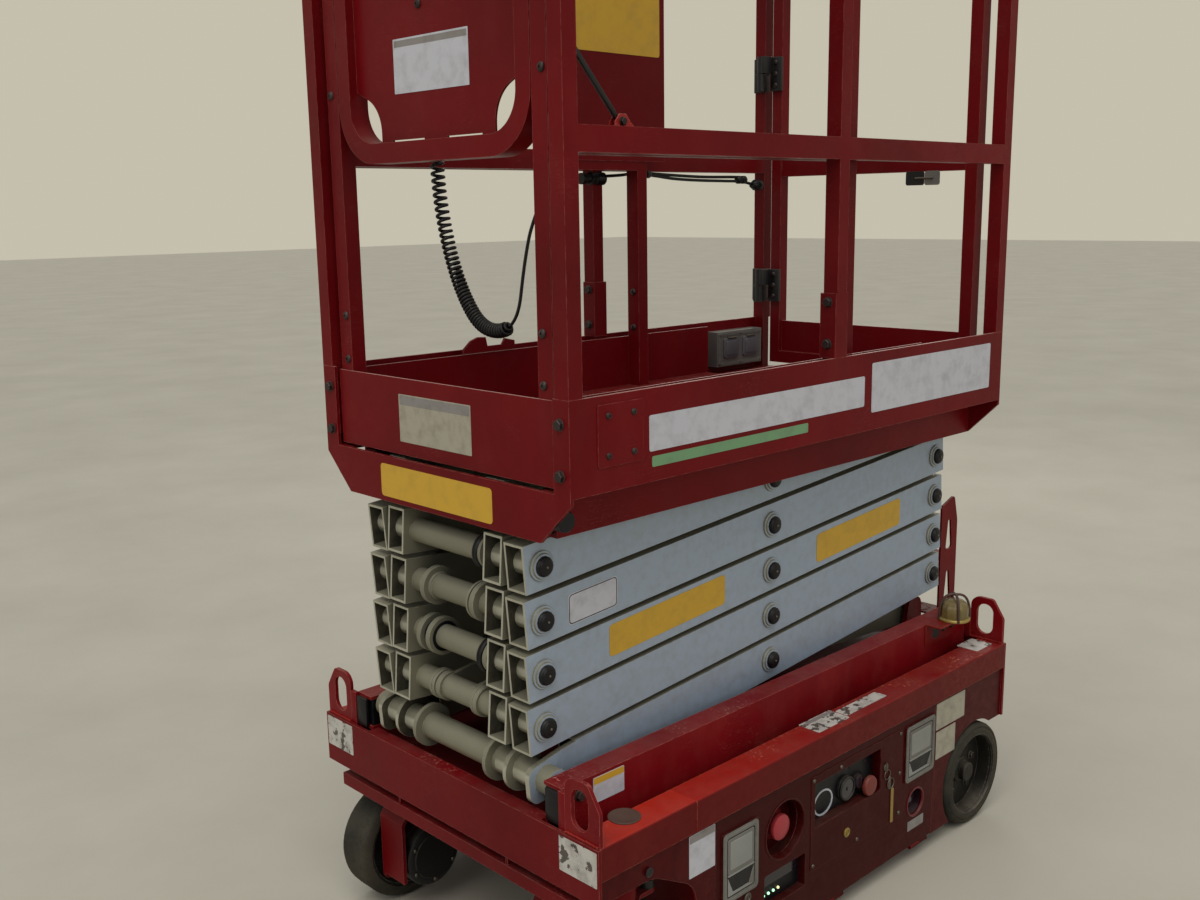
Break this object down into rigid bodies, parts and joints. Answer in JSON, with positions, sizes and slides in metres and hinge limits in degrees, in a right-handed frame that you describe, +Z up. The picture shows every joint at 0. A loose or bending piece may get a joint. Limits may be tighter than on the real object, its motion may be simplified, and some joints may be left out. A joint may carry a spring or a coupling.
{
  "type": "scissor lift",
  "caption": "Compact electric scissor lift, stowed, with a guarded platform, a sliding deck extension, a rear gate, a side-hung control cord and steered front wheels",
  "frame": {"origin": "On the floor, below the middle of the whole length, ladder included, and the middle of the width", "axes": "+X is the steered front end, +Y is the left side, +Z is up"},
  "size_m": [1.349, 0.762, 2.01],
  "materials": {
    "red_paint": "gloss red paint, scuffed",
    "silver_paint": "satin silver paint",
    "rim_paint": "grey paint, dusty",
    "tyre": "non-marking solid tyre, worn",
    "black_plastic": "black plastic",
    "black_paint": "black paint",
    "chrome_rod": "hard chrome",
    "grey_cast": "cast, dull",
    "beacon_plastic": "dusty amber plastic"
  },
  "bodies": {
    "chassis": {"chassis_frame": "red_paint", "side_covers": "red_paint", "slide_rails": "red_paint", "tie_down_lugs": "red_paint", "pivot_brackets": "red_paint", "rear_axles": "rim_paint", "ladder": "red_paint", "beacon": "beacon_plastic", "battery_packs": "black_plastic"},
    "door_left": {"side_door_left": "red_paint", "door_controls": "black_plastic"},
    "door_right": {"side_door_right": "red_paint"},
    "steering_left": {"knuckle_left": "red_paint"},
    "steering_right": {"knuckle_right": "red_paint"},
    "track_rod": {"tie_rod": "red_paint"},
    "wheel_front_left": {"tyre_front_left": "tyre", "rim_front_left": "rim_paint"},
    "wheel_front_right": {"tyre_front_right": "tyre", "rim_front_right": "rim_paint"},
    "wheel_rear_left": {"tyre_rear_left": "tyre", "rim_rear_left": "rim_paint"},
    "wheel_rear_right": {"tyre_rear_right": "tyre", "rim_rear_right": "rim_paint"},
    "outer_1": {"outer_arms_1": "silver_paint"},
    "lower_slides": {"lower_slide_blocks": "black_plastic"},
    "inner_1": {"inner_arms_1": "silver_paint"},
    "outer_2": {"outer_arms_2": "silver_paint"},
    "inner_2": {"inner_arms_2": "silver_paint"},
    "outer_3": {"outer_arms_3": "silver_paint"},
    "inner_3": {"inner_arms_3": "silver_paint"},
    "outer_4": {"outer_arms_4": "silver_paint"},
    "inner_4": {"inner_arms_4": "silver_paint"},
    "outer_5": {"outer_arms_5": "silver_paint"},
    "inner_5": {"inner_arms_5": "silver_paint"},
    "upper_slides": {"upper_slide_blocks": "black_plastic"},
    "barrel": {"cylinder_barrel": "black_paint"},
    "plunger": {"cylinder_rod": "chrome_rod"},
    "platform": {"platform_deck": "red_paint", "platform_channels": "red_paint", "guardrails": "red_paint", "outlet_box": "grey_cast"},
    "gate": {"rear_gate": "red_paint"},
    "extension": {"extension_deck": "red_paint", "extension_rails": "red_paint", "front_hoop": "red_paint", "control_box": "black_plastic", "curly_cord": "black_plastic"}
  },
  "joints": [
    {"name": "lift", "type": "hinge", "parent": "chassis", "child": "inner_1", "pos_m": [-0.54, 0, 0.4273], "axis": [0, -1, 0], "range_deg": [0, 60]},
    {"name": "centre_1", "type": "hinge", "parent": "inner_1", "child": "outer_1", "pos_m": [0.04102, 0, 0.47223], "axis": [0, 1, 0], "range_deg": [0, 120]},
    {"name": "front_1", "type": "hinge", "parent": "inner_1", "child": "outer_2", "pos_m": [0.62203, 0, 0.51716], "axis": [0, 1, 0], "range_deg": [0, 120]},
    {"name": "centre_2", "type": "hinge", "parent": "outer_2", "child": "inner_2", "pos_m": [0.04102, 0, 0.56209], "axis": [0, -1, 0], "range_deg": [0, 120]},
    {"name": "rear_2", "type": "hinge", "parent": "outer_2", "child": "inner_3", "pos_m": [-0.54, 0, 0.60702], "axis": [0, -1, 0], "range_deg": [0, 120]},
    {"name": "centre_3", "type": "hinge", "parent": "inner_3", "child": "outer_3", "pos_m": [0.04102, 0, 0.65195], "axis": [0, 1, 0], "range_deg": [0, 120]},
    {"name": "front_3", "type": "hinge", "parent": "inner_3", "child": "outer_4", "pos_m": [0.62203, 0, 0.69688], "axis": [0, 1, 0], "range_deg": [0, 120]},
    {"name": "centre_4", "type": "hinge", "parent": "outer_4", "child": "inner_4", "pos_m": [0.04102, 0, 0.74181], "axis": [0, -1, 0], "range_deg": [0, 120]},
    {"name": "rear_4", "type": "hinge", "parent": "outer_4", "child": "inner_5", "pos_m": [-0.54, 0, 0.78674], "axis": [0, -1, 0], "range_deg": [0, 120]},
    {"name": "centre_5", "type": "hinge", "parent": "inner_5", "child": "outer_5", "pos_m": [0.04102, 0, 0.83167], "axis": [0, 1, 0], "range_deg": [0, 120]},
    {"name": "platform_pin", "type": "hinge", "parent": "outer_5", "child": "platform", "pos_m": [-0.54, 0, 0.8766], "axis": [0, -1, 0], "range_deg": [0, 60]},
    {"name": "lower_slide_pin", "type": "hinge", "parent": "outer_1", "child": "lower_slides", "pos_m": [0.62203, 0, 0.4273], "axis": [0, -1, 0], "range_deg": [0, 60]},
    {"name": "upper_slide_pin", "type": "hinge", "parent": "inner_5", "child": "upper_slides", "pos_m": [0.62203, 0, 0.8766], "axis": [0, 1, 0], "range_deg": [0, 60]},
    {"name": "barrel_hinge", "type": "hinge", "parent": "chassis", "child": "barrel", "pos_m": [-0.1925, 0, 0.436], "axis": [0, -1, 0], "range_deg": [0, 78]},
    {"name": "rod_slide", "type": "slide", "parent": "barrel", "child": "plunger", "axis": [0.9882, 0, 0.153], "range_m": [0, 0.256]},
    {"name": "gate_hinge", "type": "hinge", "parent": "platform", "child": "gate", "pos_m": [-0.5285, -0.279, 1.4], "axis": [0, 0, -1], "range_deg": [0, 90]},
    {"name": "extension_slide", "type": "slide", "parent": "platform", "child": "extension", "axis": [1, 0, 0], "range_m": [0, 0.51]},
    {"name": "door_left_hinge", "type": "hinge", "parent": "chassis", "child": "door_left", "pos_m": [0.0435, 0.372, 0.03], "axis": [-1, 0, 0], "range_deg": [0, 90]},
    {"name": "door_right_hinge", "type": "hinge", "parent": "chassis", "child": "door_right", "pos_m": [0.0435, -0.372, 0.03], "axis": [1, 0, 0], "range_deg": [0, 90]},
    {"name": "steer_left", "type": "hinge", "parent": "chassis", "child": "steering_left", "pos_m": [0.5675, 0.33, 0.23], "axis": [0, 0, 1], "range_deg": [-50, 50]},
    {"name": "steer_right", "type": "hinge", "parent": "chassis", "child": "steering_right", "pos_m": [0.5675, -0.33, 0.23], "axis": [0, 0, 1], "range_deg": [-50, 50]},
    {"name": "track_rod_pin", "type": "hinge", "parent": "steering_left", "child": "track_rod", "pos_m": [0.5125, 0.33, 0.247], "axis": [0, 0, 1], "range_deg": [-50, 50]},
    {"name": "spin_front_left", "type": "hinge", "parent": "steering_left", "child": "wheel_front_left", "pos_m": [0.5675, 0.3, 0.113], "axis": [0, 1, 0], "continuous": true},
    {"name": "spin_front_right", "type": "hinge", "parent": "steering_right", "child": "wheel_front_right", "pos_m": [0.5675, -0.3, 0.113], "axis": [0, 1, 0], "continuous": true},
    {"name": "spin_rear_left", "type": "hinge", "parent": "chassis", "child": "wheel_rear_left", "pos_m": [-0.4645, 0.343, 0.113], "axis": [0, 1, 0], "continuous": true},
    {"name": "spin_rear_right", "type": "hinge", "parent": "chassis", "child": "wheel_rear_right", "pos_m": [-0.4645, -0.343, 0.113], "axis": [0, 1, 0], "continuous": true}
  ],
  "couplings": [
    {"joint": "centre_1", "follows": "lift", "ratio": 2},
    {"joint": "front_1", "follows": "lift", "ratio": 2},
    {"joint": "centre_2", "follows": "lift", "ratio": 2},
    {"joint": "rear_2", "follows": "lift", "ratio": 2},
    {"joint": "centre_3", "follows": "lift", "ratio": 2},
    {"joint": "front_3", "follows": "lift", "ratio": 2},
    {"joint": "centre_4", "follows": "lift", "ratio": 2},
    {"joint": "rear_4", "follows": "lift", "ratio": 2},
    {"joint": "centre_5", "follows": "lift", "ratio": 2},
    {"joint": "platform_pin", "follows": "lift", "ratio": 1},
    {"joint": "lower_slide_pin", "follows": "lift", "ratio": 1},
    {"joint": "upper_slide_pin", "follows": "lift", "ratio": 1},
    {"joint": "barrel_hinge", "follows": "lift", "ratio": 1.2942},
    {"joint": "rod_slide", "follows": "lift", "m_per_rad": 0.243},
    {"joint": "steer_right", "follows": "steer_left", "ratio": 1},
    {"joint": "track_rod_pin", "follows": "steer_left", "ratio": -1}
  ]
}
